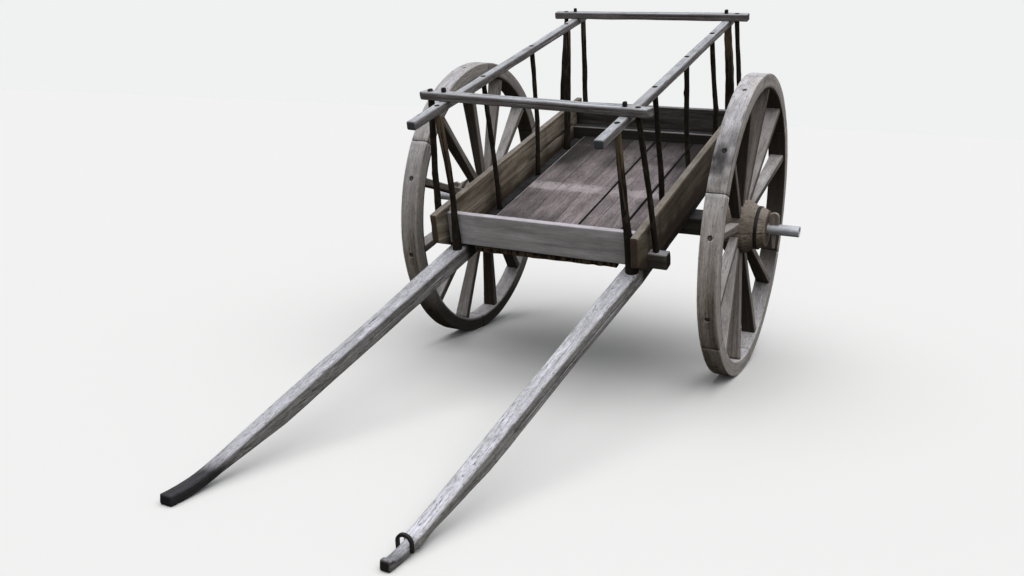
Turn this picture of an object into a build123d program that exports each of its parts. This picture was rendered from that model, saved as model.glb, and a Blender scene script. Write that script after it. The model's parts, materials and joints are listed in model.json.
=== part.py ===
from build123d import *
from math import acos, atan2, cos, degrees, hypot, pi, sin, sqrt
import os

os.makedirs("parts", exist_ok=True)

# A two-wheeled wooden ox cart, parked with its two shafts down on the ground.
# Millimetres. X is across the cart, the shafts point to -Y, Z is up, and the ground is Z = 0.
# The body is drawn level first, with the axle's centre line as its X axis, and then
# pitched forward about the axle until the shaft tips lie on the ground.

# Wheels
wheel_radius = 750.0        # 5 ft wheel
tread_width = 90.0
felloe_depth = 73.0
felloe_count = 6
spoke_count = 12
wheel_centre = 758.0        # middle of the tread, from the cart's middle
dish = 34.0                 # how far the rim stands outside the spoke feet
felloe_joint_gap = 1.6
joint_turn_right = 163.0    # where a felloe joint stands, in degrees from the back over the top
joint_turn_left = 153.0
spoke_foot = (42.0, 46.0)   # along the axle, round the wheel
spoke_head = (72.0, 40.0)
foot_tenon = (30.0, 30.0)
foot_tenon_depth = 45.0
head_tenon_width = 22.0

# Hub, turned from one log: places are distances from the cart's middle
hub_inner_end = 600.0
hub_outer_end = 861.0
hub_inner_radius = 104.0
hub_belly_radius = 133.0
hub_belly = (664.0, 762.0)
hub_band_place = (810.0, 827.0)
hub_shoulder_radius = 104.0
hub_band_thickness = 4.0
hub_nose_radius = 88.0
hub_flats = 36              # left by the drawknife, three under each spoke

# Axle
pipe_radius = 27.0
pipe_wall = 4.0
pipe_half_length = 1014.0
running_clearance = 0.05
axle_beam_depth = 118.0     # front to back
axle_beam_below = 55.0      # below the pipe's centre line
end_float = 5.0             # between the axle beam and the hub
linchpin_thickness = 16.0
linchpin_head_width = 50.0
linchpin_head_top = 91.0
linchpin_neck_width = 22.0
linchpin_tip_width = 12.0
linchpin_tip = -103.0
linchpin_float = 5.0

# Shafts
shaft_centre = 441.0
shaft_width = 84.0
shaft_depth = 78.0
shaft_bottom = 42.0
shaft_rear = 902.0
shaft_bend = -800.0         # where the taper towards the tips starts
shaft_neck = -2200.0        # where the pole starts to thin down to its tip
neck_depth = 70.0
tip_start = -2547.0         # where the tips start to curve up
tip_width = 52.0
tip_depth = 38.0
tip_curve_radius = 760.0    # of the underside
tip_centre_left = -445.0
tip_centre_right = 387.0
tongue_length = 150.0
tongue_width = 38.0
tongue_hollow = 9.0

# Box: cross-beams on the shafts, boards on edge, floor planks between the shafts
beam_half_length = 593.0
beam_height = 72.0
beam_depth = 58.0
front_beam_y = -759.0
rear_beam_y = 774.0
board_thickness = 30.0
end_board_bottom = 20.0     # above the shafts
front_board_top = 176.0
rear_board_top = 201.0
side_board_inner = 474.0
side_board_thickness = 32.0
side_board_height = 203.0
side_board_front = -918.0
side_board_rear = 905.0
side_board_heel = (112.0, 62.0)     # slanted lower corner at both ends
slot_place = -844.0         # an old mortise through the left side board
slot_size = (12.0, 47.0)    # front to back, height
slot_bottom = 48.0          # above the shafts
floor_left = -405.0
floor_right = 413.0
plank_thickness = 16.0
floor_end_gap = 2.5
bearer_size = (60.0, 48.0)  # front to back, height
bearer_places = (-520.0, 0.0, 520.0)
bearer_tenon = (40.0, 30.0, 28.0)   # front to back, height, depth in the shaft

# Rack: pickets, top rails and crossbars
rail_bottom = 791.0
rail_height = 37.0
rail_width = 42.0
rail_centre = 437.0
rail_front_left = -1072.0
rail_front_right = -1130.0
rail_rear = 905.0
crossbar_width = 48.0
crossbar_height = 37.0
crossbar_half_length = 556.0
front_crossbar_y = -796.0
front_crossbar_skew = -3.7  # degrees: the rack is a little out of square
rear_crossbar_y = 792.0
rear_picket_x = 494.0
peg_width = 17.0
peg_proud = 20.0
picket_tenon_radius = 12.0
picket_tenon_depth = 45.0
outer_picket_proud = 3.0
fit_gap = 0.25              # all round a tenon, peg or pin in its hole
stick_sides = 10            # flats left by the drawknife on a stick
tenon_sides = 8

# Iron staple over the right shaft's tongue
staple_bar = 10.0
staple_leg = 26.0
staple_rise = 4.0           # straight part above the tongue's top, before the arch
staple_place = 34.0         # in front of the shoulder

shaft_top = shaft_bottom + shaft_depth
beam_top = shaft_top + beam_height
rail_top = rail_bottom + rail_height
crossbar_top = rail_top + crossbar_height
hub_bore = pipe_radius + running_clearance

# The tips end level with the ground, so the pitch follows from where their arc starts.
sole_height = shaft_top - tip_depth + tip_curve_radius
sole_reach = hypot(sole_height, tip_start)
pitch = acos((tip_curve_radius - wheel_radius) / sole_reach) - atan2(-tip_start, sole_height)

# The file's origin is on the ground, midway between the shaft tips and the shafts' rear ends.
tip_y = tip_start * cos(pitch) - sole_height * sin(pitch)
tail_y = shaft_rear * cos(pitch) - shaft_bottom * sin(pitch)
axle_place = Pos(0, -(tip_y + tail_y) / 2, wheel_radius)
body_place = axle_place * Rot(degrees(pitch), 0, 0)
print("pitch", round(degrees(pitch), 3), "degrees, axle at", tuple(axle_place.position))


def box(x, y, z):
    """A box from its low and high place on each axis."""
    size = (x[1] - x[0], y[1] - y[0], z[1] - z[0])
    middle = (sum(x) / 2, sum(y) / 2, sum(z) / 2)
    return Pos(*middle) * Box(*size)


def bar(start, end, r0, r1=None):
    """A round bar between two points, tapered if the radii differ."""
    a, b = Vector(*start), Vector(*end)
    run = b - a
    place = Plane(origin=a, z_dir=run) * Pos(0, 0, run.length / 2)
    if r1 is None or abs(r1 - r0) < 1e-6:
        return place * Cylinder(r0, run.length)
    return place * Cone(r0, r1, run.length)


def section(x, y, z_top, width, depth):
    """An upright rectangle across the cart, hung from its top."""
    return Plane(origin=(x, y, z_top - depth / 2), x_dir=(1, 0, 0), z_dir=(0, 1, 0)) * Rectangle(width, depth)


def save(name, shape, place=body_place):
    export_step(place * shape, f"parts/{name}.step")


# Floor planks, laid along the cart: where each seam is, from the cart's middle, and its width.
plank_seams = ((-240, 2), (-86, 2), (47, 6), (121, 2), (267, 6))

# Pickets. Each is a natural stick that leans from its foot to its top and is bent on the way.
# side, name, foot x, foot y, top x, top y, foot radius, middle radius, top radius, bend x, bend y
pickets = (
    (+1, "a", 450, -842, 437, -921, 20, 17, 15, -6, 6),
    (+1, "c", 441, -352, 434, -430, 14, 13, 13, 2, 6),
    (+1, "d", 441, 100, 432, 66, 14, 13, 13, -12, -10),
    (+1, "e", 441, 566, 434, 516, 14.5, 13.5, 13, 6, 9),
    (+1, "f", 441, 873, 437, 830, 26, 24, 21, 4, 10),
    (-1, "a", 428, -836, 434, -846, 16, 14, 19, -14, 3),
    (-1, "c", 441, -346, 437, -388, 13, 12.6, 12.6, 8, 12),
    (-1, "d", 441, 137, 436, 173, 13, 12.6, 12.6, -10, 0),
    (-1, "e", 441, 557, 440, 656, 18, 19, 22, -4, 0),
    (-1, "f", 441, 870, 430, 884, 17, 16, 14, 0, 0),
)
# The outer pickets stand on the ends of the cross-beams and pass through the crossbars.
# side, name, foot x, foot y, top x, top y, foot radius, middle radius, top radius, bend x, bend y
outer_pickets = (
    (+1, "b", 534, -759, 494, 0, 13, 12.6, 12.6, 0, 9),
    (-1, "b", 556, -759, 510, 0, 17, 15, 15, 6, -9),
    (+1, "g", 556, 774, rear_picket_x, 0, 13, 12.6, 12.6, -17, 9),
    (-1, "g", 556, 774, rear_picket_x, 0, 14, 13, 12.6, 8, -7),
)


def crossbar_y(x, end):
    """The crossbar's middle line at a place across the cart."""
    if end > 0:
        return rear_crossbar_y
    return front_crossbar_y + x * sin(front_crossbar_skew * pi / 180) / cos(front_crossbar_skew * pi / 180)


def prong(place, low, high, radius=picket_tenon_radius):
    """An upright eight-sided tenon, from one height to another."""
    return Pos(place[0], place[1], low) * extrude(RegularPolygon(radius, tenon_sides), high - low)


def picket(foot, top, tenon_top, radii, bend):
    """A natural stick with a tenon at each end, standing on foot and reaching top."""
    knee_share = 0.45
    knee = [f + (t - f) * knee_share + b for f, t, b in zip(foot, top, (*bend, 0))]
    stations = [Plane(origin=tuple(place)) * RegularPolygon(radius, stick_sides)
                for place, radius in zip((foot, knee, top), radii)]
    stick = loft(stations, ruled=True)
    return stick + prong(foot, foot[2] - picket_tenon_depth, foot[2]) + prong(top, top[2], tenon_top)


def tenon_hole(place, low, high):
    """The hole that a picket's tenon stands in."""
    return prong(place, low, high, picket_tenon_radius + fit_gap)


shaft_holes = {-1: [], +1: []}
rail_holes = {-1: [], +1: []}
beam_holes = {-1: [], +1: []}
crossbar_holes = {-1: [], +1: []}
side_word = {-1: "left", +1: "right"}

for side, name, fx, fy, tx, ty, r0, r1, r2, bx, by in pickets:
    foot, top = (side * fx, fy, shaft_top), (side * tx, ty, rail_bottom)
    save(f"picket_{name}_{side_word[side]}", picket(foot, top, rail_top, (r0, r1, r2), (side * bx, by)))
    shaft_holes[side].append(foot)
    rail_holes[side].append(top)

for side, name, fx, fy, tx, ty, r0, r1, r2, bx, by in outer_pickets:
    end = -1 if fy < 0 else +1
    foot, top = (side * fx, fy, beam_top), (side * tx, crossbar_y(side * tx, end), rail_top)
    save(f"picket_{name}_{side_word[side]}",
         picket(foot, top, crossbar_top + outer_picket_proud, (r0, r1, r2), (side * bx, by)))
    beam_holes[end].append(foot)
    crossbar_holes[end].append(top)


def peg(place, width, low, high):
    """An upright square peg."""
    return Pos(place[0], place[1], (low + high) / 2) * Box(width, width, high - low)


# Four pegs hold the crossbars down on the rails.
pegs = []
for end in (-1, +1):
    for side in (-1, +1):
        x = side * rail_centre
        pegs.append((x, crossbar_y(x, end)))
save("rail_pegs", Compound([peg(place, peg_width, rail_bottom, crossbar_top + peg_proud) for place in pegs]))
peg_hole_width = peg_width + 2 * fit_gap

for side, front in ((-1, rail_front_left), (+1, rail_front_right)):
    x = side * rail_centre
    rail = box((x - rail_width / 2, x + rail_width / 2), (front, rail_rear), (rail_bottom, rail_top))
    for place in rail_holes[side]:
        rail -= tenon_hole(place, rail_bottom - 1, rail_top + 1)
    for place in pegs:
        if place[0] * side > 0:
            rail -= peg(place, peg_hole_width, rail_bottom - 1, rail_top + 1)
    save(f"rail_{side_word[side]}", rail)

for end, name, skew in ((-1, "front", front_crossbar_skew), (+1, "rear", 0.0)):
    y = crossbar_y(0, end)
    crossbar = Pos(0, y, rail_top + crossbar_height / 2) * Rot(0, 0, skew) * Box(
        2 * crossbar_half_length, crossbar_width, crossbar_height)
    for place in crossbar_holes[end]:
        crossbar -= tenon_hole(place, rail_top - 1, crossbar_top + 1)
    for place in pegs:
        crossbar -= peg(place, peg_hole_width, rail_top - 1, crossbar_top + 1)
    save(f"crossbar_{name}", crossbar)

# Cross-beams lie on the shafts and stick out past the side boards.
for end, name, y, board_top in ((-1, "front", front_beam_y, front_board_top),
                                (+1, "rear", rear_beam_y, rear_board_top)):
    half = beam_depth / 2
    beam = box((-beam_half_length, beam_half_length), (y - half, y + half), (shaft_top, beam_top))
    for place in beam_holes[end]:
        beam -= tenon_hole(place, beam_top - picket_tenon_depth - 1, beam_top + 1)
    save(f"cross_beam_{name}", beam)

    near = y + end * beam_depth / 2
    far = near + end * board_thickness
    half = side_board_inner - fit_gap
    edges = (shaft_top + end_board_bottom, shaft_top + board_top)
    save(f"board_{name}", box((-half, half), sorted((near, far)), edges))

# Side boards stand on the shafts, notched over the cross-beams.
for side in (-1, +1):
    x = sorted((side * side_board_inner, side * (side_board_inner + side_board_thickness)))
    z0, z1 = shaft_top, shaft_top + side_board_height
    heel_y, heel_z = side_board_heel
    outline = Polyline(
        (side_board_front, z1), (side_board_rear, z1), (side_board_rear, z0 + heel_z),
        (side_board_rear - heel_y, z0), (side_board_front + heel_y, z0),
        (side_board_front, z0 + heel_z), close=True)
    face = Plane(origin=(x[0], 0, 0), x_dir=(0, 1, 0), z_dir=(1, 0, 0)) * make_face(outline)
    board = extrude(face, x[1] - x[0])
    for y in (front_beam_y, rear_beam_y):
        half = beam_depth / 2 + fit_gap
        board -= box((x[0] - 1, x[1] + 1), (y - half, y + half), (z0 - 1, beam_top + fit_gap))
    if side < 0:
        half = slot_size[0] / 2
        low = shaft_top + slot_bottom
        board -= box((x[0] - 1, x[1] + 1), (slot_place - half, slot_place + half), (low, low + slot_size[1]))
    save(f"side_board_{side_word[side]}", board)

# Floor: bearers tenoned into the shafts, and planks laid along the cart on them.
shaft_inner = shaft_centre - shaft_width / 2
bearer_low = shaft_top - bearer_size[1]
bearer_mid = (shaft_top + bearer_low) / 2
bearers = []
for y in bearer_places:
    half = bearer_size[0] / 2
    bearer = box((-shaft_inner, shaft_inner), (y - half, y + half), (bearer_low, shaft_top))
    reach = shaft_inner + bearer_tenon[2]
    bearer += box((-reach, reach), (y - bearer_tenon[0] / 2, y + bearer_tenon[0] / 2),
                  (bearer_mid - bearer_tenon[1] / 2, bearer_mid + bearer_tenon[1] / 2))
    bearers.append(bearer)
save("floor_bearers", Compound(bearers))

floor_ends = (front_beam_y + beam_depth / 2 + floor_end_gap, rear_beam_y - beam_depth / 2 - floor_end_gap)
planks = []
edge = floor_left
for seam, width in (*plank_seams, (floor_right, 0)):
    planks.append(box((edge, seam - width / 2), floor_ends, (shaft_top, shaft_top + plank_thickness)))
    edge = seam + width / 2
save("floor_planks", Compound(planks))


# Shafts: squared in the box, tapering to tips that curve up to lie on the ground.
def shaft(side, tip_centre):
    x = side * shaft_centre
    half, tip_half = shaft_width / 2, tip_width / 2
    plan = make_face(Polyline((x - half, shaft_rear), (x + half, shaft_rear), (x + half, shaft_bend),
                              (tip_centre + tip_half, tip_start), (tip_centre - tip_half, tip_start),
                              (x - half, shaft_bend), close=True))
    profile = Plane.YZ * make_face(Polyline((shaft_rear, shaft_bottom), (shaft_rear, shaft_top),
                                            (tip_start, shaft_top), (tip_start, shaft_top - tip_depth),
                                            (shaft_neck, shaft_top - neck_depth),
                                            (shaft_bend, shaft_bottom), close=True))
    pole = extrude(plan, 2 * shaft_top) & extrude(profile, 2 * shaft_centre, both=True)
    centre_z = shaft_top - tip_depth + tip_curve_radius
    turn = Axis((0, tip_start, centre_z), (1, 0, 0))
    tip = revolve(section(tip_centre, tip_start, shaft_top, tip_width, tip_depth), turn, -degrees(pitch))
    solid = pole + tip
    for place in shaft_holes[side]:
        solid -= tenon_hole(place, shaft_top - picket_tenon_depth - 1, shaft_top + 1)
    inner = side * shaft_inner
    pocket = bearer_tenon[2] + fit_gap
    for y in bearer_places:
        solid -= box(sorted((inner, inner + side * pocket)),
                     (y - bearer_tenon[0] / 2 - fit_gap, y + bearer_tenon[0] / 2 + fit_gap),
                     (bearer_mid - bearer_tenon[1] / 2 - fit_gap, bearer_mid + bearer_tenon[1] / 2 + fit_gap))
    return solid


save("shaft_left", shaft(-1, tip_centre_left))

# The right shaft ends in a narrower tongue with a hollowed top.
right = shaft(+1, tip_centre_right)
arc_end = tip_start - tip_curve_radius * sin(pitch)
shoulder = arc_end + tongue_length
for side in (-1, +1):
    edge = tip_centre_right + side * tongue_width / 2
    right -= box(sorted((edge, edge + side * tip_width)), (arc_end - 50, shoulder), (0, 400))
hollow_radius = tip_curve_radius - tip_depth + tongue_hollow
hollow_centre = shaft_top - tip_depth + tip_curve_radius
hollow = bar((tip_centre_right - tip_width, tip_start, hollow_centre),
             (tip_centre_right + tip_width, tip_start, hollow_centre), hollow_radius)
right -= hollow & box((tip_centre_right - tip_width, tip_centre_right + tip_width),
                      (arc_end + tongue_length / 4, shoulder), (0, 400))
save("shaft_right", right)

# Staple: an iron arch over the tongue with a leg down each side.
staple_turn = (tip_start - shoulder + staple_place) / tip_curve_radius
staple_y = tip_start - tip_curve_radius * sin(staple_turn)
staple_z = hollow_centre - (tip_curve_radius - tip_depth) * cos(staple_turn)
half = tongue_width / 2 + fit_gap + staple_bar / 2
arch = [(-half, 0, staple_rise), (0, 0, staple_rise + half), (half, 0, staple_rise)]
path = Polyline((-half, 0, -staple_leg), arch[0]) + ThreePointArc(*arch)
path += Polyline(arch[2], (half, 0, -staple_leg))
staple = sweep(Pos(-half, 0, -staple_leg) * Rectangle(staple_bar, staple_bar), path=path)
save("shaft_staple", Pos(tip_centre_right, staple_y, staple_z) * Rot(-degrees(staple_turn), 0, 0) * staple)

# Axle: a squared beam under the shafts with the pipe through it.
axle_end = hub_inner_end - end_float
half = axle_beam_depth / 2
beam = box((-axle_end, axle_end), (-half, half), (-axle_beam_below, shaft_bottom))
beam -= bar((-axle_end - 1, 0, 0), (axle_end + 1, 0, 0), pipe_radius + fit_gap)
save("axle_beam", beam)

pipe = bar((-pipe_half_length, 0, 0), (pipe_half_length, 0, 0), pipe_radius)
pipe -= bar((-pipe_half_length - 1, 0, 0), (pipe_half_length + 1, 0, 0), pipe_radius - pipe_wall)
pin_x = hub_outer_end + linchpin_float + linchpin_head_width / 2
for side in (-1, +1):
    slot = (linchpin_neck_width + 2 * fit_gap, linchpin_thickness + 2 * fit_gap, 3 * pipe_radius)
    pipe -= Pos(side * pin_x, 0, 0) * Box(*slot)
save("axle_pipe", pipe)

for side in (-1, +1):
    w, n, t = linchpin_head_width / 2, linchpin_neck_width / 2, linchpin_tip_width / 2
    seat = pipe_radius + fit_gap
    round_start = linchpin_head_top - w
    outline = Polyline((w, round_start), (w, seat), (n, seat), (n, -pipe_radius), (t, linchpin_tip),
                       (-t, linchpin_tip), (-n, -pipe_radius), (-n, seat), (-w, seat), (-w, round_start)) \
        + ThreePointArc((-w, round_start), (0, linchpin_head_top), (w, round_start))
    flat = Plane(origin=(0, linchpin_thickness / 2, 0), x_dir=(1, 0, 0), z_dir=(0, -1, 0))
    face = flat * make_face(outline)
    save(f"linchpin_{side_word[side]}", Pos(side * pin_x, 0, 0) * extrude(face, linchpin_thickness))


# Wheels, drawn for the right side with the axle along X; the left one is its mirror image.
rim_inner = wheel_radius - felloe_depth
tread = (wheel_centre - tread_width / 2, wheel_centre + tread_width / 2)
spoke_root_x = wheel_centre - dish


def ring(x, outer, inner):
    return bar((x[0], 0, 0), (x[1], 0, 0), outer) - bar((x[0] - 1, 0, 0), (x[1] + 1, 0, 0), inner)


def shaved(outline, flats):
    """A solid about the X axis from its outline (x, radius), shaved to flats all round."""
    def corner(x, radius, number):
        turn = 2 * pi * (number - 0.5) / flats
        return (x, -radius * sin(turn), radius * cos(turn))

    faces = []
    for number in range(flats):
        for (x0, r0), (x1, r1) in zip(outline, outline[1:]):
            faces.append(make_face(Polyline(corner(x0, r0, number), corner(x0, r0, number + 1),
                                            corner(x1, r1, number + 1), corner(x1, r1, number), close=True)))
    for x, radius in (outline[0], outline[-1]):
        faces.append(make_face(Polyline(*[corner(x, radius, number) for number in range(flats)], close=True)))
    return Solid(Shell([face.face() for face in faces]))


def spoke_parts():
    """The spoke that points up, and the two mortises that it needs."""
    foot_z = hub_belly_radius * cos(pi / hub_flats) + fit_gap
    head_z = sqrt(rim_inner ** 2 - (spoke_head[1] / 2) ** 2) - fit_gap
    wide = Plane.XZ * make_face(Polyline(
        (spoke_root_x - spoke_foot[0] / 2, foot_z), (spoke_root_x + spoke_foot[0] / 2, foot_z),
        (wheel_centre + spoke_head[0] / 2, head_z), (wheel_centre - spoke_head[0] / 2, head_z), close=True))
    thick = Plane.YZ * make_face(Polyline(
        (-spoke_foot[1] / 2, foot_z), (spoke_foot[1] / 2, foot_z),
        (spoke_head[1] / 2, head_z), (-spoke_head[1] / 2, head_z), close=True))
    body = extrude(wide, spoke_foot[1], both=True) & extrude(thick, 2 * wheel_centre)
    socket = hub_belly_radius - foot_tenon_depth
    half = [size / 2 for size in foot_tenon]
    foot = box((-half[0], half[0]), (-half[1], half[1]), (socket, foot_z))
    wall = [size + fit_gap for size in half]
    foot_hole = box((-wall[0], wall[0]), (-wall[1], wall[1]), (socket - fit_gap, foot_z + 1))
    root = Pos(spoke_root_x, 0, 0)
    rim = (wheel_centre, 0)
    head = peg(rim, head_tenon_width, head_z, wheel_radius - 1)
    head_hole = peg(rim, head_tenon_width + 2 * fit_gap, head_z - 5, wheel_radius + 5)
    return body + root * foot + head, root * foot_hole, head_hole


spoke, foot_hole, head_hole = spoke_parts()
step_angle = 360 / spoke_count
felloe_angle = 360 / felloe_count
hub_outline = (
    (hub_inner_end, hub_inner_radius), (hub_belly[0], hub_inner_radius), (hub_belly[0], hub_belly_radius),
    (hub_belly[1], hub_belly_radius), (hub_band_place[0], hub_shoulder_radius),
    (hub_band_place[1], hub_shoulder_radius), (hub_outer_end, hub_nose_radius))
hub_blank = shaved(hub_outline, hub_flats)
hub_blank -= bar((hub_inner_end - 1, 0, 0), (hub_outer_end + 1, 0, 0), hub_bore)

band_seat = hub_shoulder_radius + 0.01
hub_band = ring(hub_band_place, hub_shoulder_radius + hub_band_thickness, band_seat)

# One felloe: a slice of the rim, centred over the axle, with the holes for two spoke tenons.
half_turn = felloe_angle / 2 * pi / 180
reach = 2 * wheel_radius
slice_face = Plane.YZ * make_face(Polyline(
    (0, 0), (-reach * sin(half_turn), reach * cos(half_turn)),
    (reach * sin(half_turn), reach * cos(half_turn)), close=True))
slice_place = Pos(tread[0] - 1, 0, felloe_joint_gap / 2 / sin(half_turn))
felloe = ring(tread, wheel_radius, rim_inner) & (slice_place * extrude(slice_face, tread_width + 2))
for offset in (-step_angle / 2, step_angle / 2):
    felloe -= Rot(offset, 0, 0) * head_hole

for side, joint_turn in ((+1, joint_turn_right), (-1, joint_turn_left)):
    word = side_word[side]

    def save_wheel(name, shape):
        if side < 0:
            shape = mirror(shape, about=Plane.YZ)
        save(f"{name}_{word}", shape, axle_place)

    # Turns run from straight behind (+Y) over the top, and a spoke stands half a step past
    # each joint.
    first_spoke = joint_turn - 90 + step_angle / 2
    hub = Rot(first_spoke, 0, 0) * hub_blank
    spokes = []
    for number in range(spoke_count):
        turn = Rot(first_spoke + number * step_angle, 0, 0)
        spokes.append(turn * spoke)
        hub -= turn * foot_hole
    save_wheel("hub", hub)
    save_wheel("spokes", Compound(spokes))
    save_wheel("hub_band", hub_band)
    first_felloe = first_spoke + step_angle / 2
    save_wheel("felloes", Compound([Rot(first_felloe + number * felloe_angle, 0, 0) * felloe
                                    for number in range(felloe_count)]))
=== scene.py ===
# %% [markdown]
# A parked bullock cart, dressed for its picture. Its solids are already at their real size and
# place, so this lesson measures them and builds a worn, hand-made skin over each one.

# %% Load the frame
import json
import math
import bpy
import mathutils
import numpy as np
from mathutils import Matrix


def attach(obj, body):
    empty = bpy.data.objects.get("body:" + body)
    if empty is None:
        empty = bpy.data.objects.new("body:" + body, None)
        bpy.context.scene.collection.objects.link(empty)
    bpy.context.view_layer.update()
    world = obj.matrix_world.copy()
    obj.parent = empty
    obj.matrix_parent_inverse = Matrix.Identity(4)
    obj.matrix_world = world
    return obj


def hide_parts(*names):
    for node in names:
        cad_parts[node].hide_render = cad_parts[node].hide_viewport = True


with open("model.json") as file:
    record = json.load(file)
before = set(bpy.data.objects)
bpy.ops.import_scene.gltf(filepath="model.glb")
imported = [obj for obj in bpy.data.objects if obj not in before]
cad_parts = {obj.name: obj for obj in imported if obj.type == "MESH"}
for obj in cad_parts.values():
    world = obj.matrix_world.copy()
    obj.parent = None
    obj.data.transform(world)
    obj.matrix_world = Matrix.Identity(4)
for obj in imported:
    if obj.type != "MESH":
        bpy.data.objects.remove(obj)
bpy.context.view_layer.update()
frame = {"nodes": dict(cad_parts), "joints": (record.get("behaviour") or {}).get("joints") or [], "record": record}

# %% [markdown]
# The cart rests on its shaft tips, so its body is pitched forward. Squared timber is easier to
# build in a level cart, with the axle as the origin, and to turn at the end. The pitch comes from
# the floor's upward direction and the axle from the wheels' joint.

# %% The level cart
floor_up = next(mount["axis"] for mount in frame["record"]["mounts"] if mount["name"] == "load_floor")
pitch = math.atan2(-floor_up[1], floor_up[2])
spin = next(joint for joint in frame["joints"] if joint["name"] == "wheel_right_spin")
axle = np.array((0.0, spin["pos_m"][1], spin["pos_m"][2]))
tilt = np.array(((1, 0, 0), (0, math.cos(pitch), -math.sin(pitch)), (0, math.sin(pitch), math.cos(pitch))))
X, Y, Z = np.eye(3)


def to_world(points):
    return points @ tilt.T + axle


def to_level(points):
    return (points - axle) @ tilt


print("pitch", round(math.degrees(pitch), 2), "degrees, axle at", axle.round(4))

# %% [markdown]
# Each skin takes its size from its solid. A plane crosses a solid's edges in points on its outline
# there, and the outermost of them give the section's width and height. A node's solids, such as
# the floor's planks, are told apart by their shared corners.

# %% Measure the solids
def corners_of(node, turned=True):
    """A node's corners, in the level cart or else only moved to the axle, and its edges."""
    mesh = frame["nodes"][node].data
    points, edges = np.empty((len(mesh.vertices), 3)), np.empty((len(mesh.edges), 2), dtype=int)
    mesh.vertices.foreach_get("co", points.ravel())
    mesh.edges.foreach_get("vertices", edges.ravel())
    return (to_level(points) if turned else points - axle), edges


def solids_of(node, turned=True):
    """The node's solids, each as its corners and edges. Corners at one place are one corner."""
    points, edges = corners_of(node, turned)
    places, same = np.unique(points.round(5), axis=0, return_inverse=True)
    ends = same.ravel()[edges]
    group, before = np.arange(len(places)), None
    while not np.array_equal(group, before):
        before = group.copy()
        np.minimum.at(group, ends, group[ends].min(axis=1, keepdims=True))
    solids = []
    for number in np.unique(group):
        mine, renumbered = np.unique(edges[group[ends[:, 0]] == number], return_inverse=True)
        solids.append((points[mine], renumbered.reshape(-1, 2)))
    return solids


def section(solid, origin, normal):
    """Where a plane crosses a solid's edges."""
    points, edges = solid
    start, end = ((points - origin) @ normal)[edges].T
    crossing = (start * end <= 0) & (start != end)
    share = start[crossing] / (start - end)[crossing]
    first, last = points[edges[crossing, 0]], points[edges[crossing, 1]]
    return first + (last - first) * share[:, None]


def spans(solid, centres, along, across, upward):
    """Section after section along a solid: the middle of each, and half its width and height."""
    middles, halves = [], []
    axes = (np.broadcast_to(axis, centres.shape) for axis in (along, across, upward))
    for centre, normal, side, top in zip(centres, *axes):
        found = section(solid, centre, normal) - centre
        a, b = found @ side, found @ top
        middles.append(centre + side * (a.min() + a.max()) / 2 + top * (b.min() + b.max()) / 2)
        halves.append((np.ptp(a) / 2, np.ptp(b) / 2))
    return np.array(middles), np.array(halves)


def spans_along(solid, spots, ends, axes):
    """The same at spots on a straight line. Those beyond its ends are measured at the ends."""
    probes = np.clip(spots, *ends)[:, None]
    middles, halves = spans(solid, probes * axes[0], *axes)
    return middles + (spots[:, None] - probes) * axes[0], halves


planks = solids_of("floor_planks")
print("floor planks", len(planks), "spokes", len(solids_of("spokes_right")))

# %% [markdown]
# Hand-made wood is never quite straight or flat. Value noise gives that: a number at each corner
# of a lattice, blended smoothly between them. Lattice cells that are long one way give marks along
# the grain. The numbers come from a hash, so every run is the same.

# %% Noise
def noise(points, size, seed=0):
    """Smooth noise between -1 and 1, with lumps of this size, or a size for each axis."""
    place = points / size + seed * 17.31
    cell = np.floor(place).astype(np.int64)
    part = place - cell
    part = part * part * (3 - 2 * part)
    total = np.zeros(len(place))
    for corner in np.ndindex(2, 2, 2):
        key = (cell + corner) @ np.array((73856093, 19349663, 83492791))
        key = (key ^ (key >> 13)) * 1274126177
        value = ((key ^ (key >> 16)) & 0xFFFF) / 32767.5 - 1
        total += value * np.where(corner, part, 1 - part).prod(axis=1)
    return total


def waves(length, size, seed):
    """Noise along a line."""
    return noise(length[:, None] * X, size, seed)


def rise(value, low, high):
    """From 0 at low to 1 at high."""
    return np.clip((value - low) / (high - low), 0, 1)


trial = waves(np.linspace(0, 50, 2000), 0.1, 1)
print("noise from", trial.min().round(2), "to", trial.max().round(2))

# %% [markdown]
# A hewn beam, a board, a plank, a felloe and a spoke are all squared timber: a rounded rectangle
# carried along a line. A drying check is a row of points pushed into a face, with a row close on
# each side to keep its lips sharp. It is written as its face, its place across it, its two ends
# along the timber and its depth.

# %% The section of a squared timber
corner_turns = np.linspace(0, math.pi / 2, 4)
corner_signs = ((1, 1), (-1, 1), (-1, -1), (1, -1))
check_width = 0.0014


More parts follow.
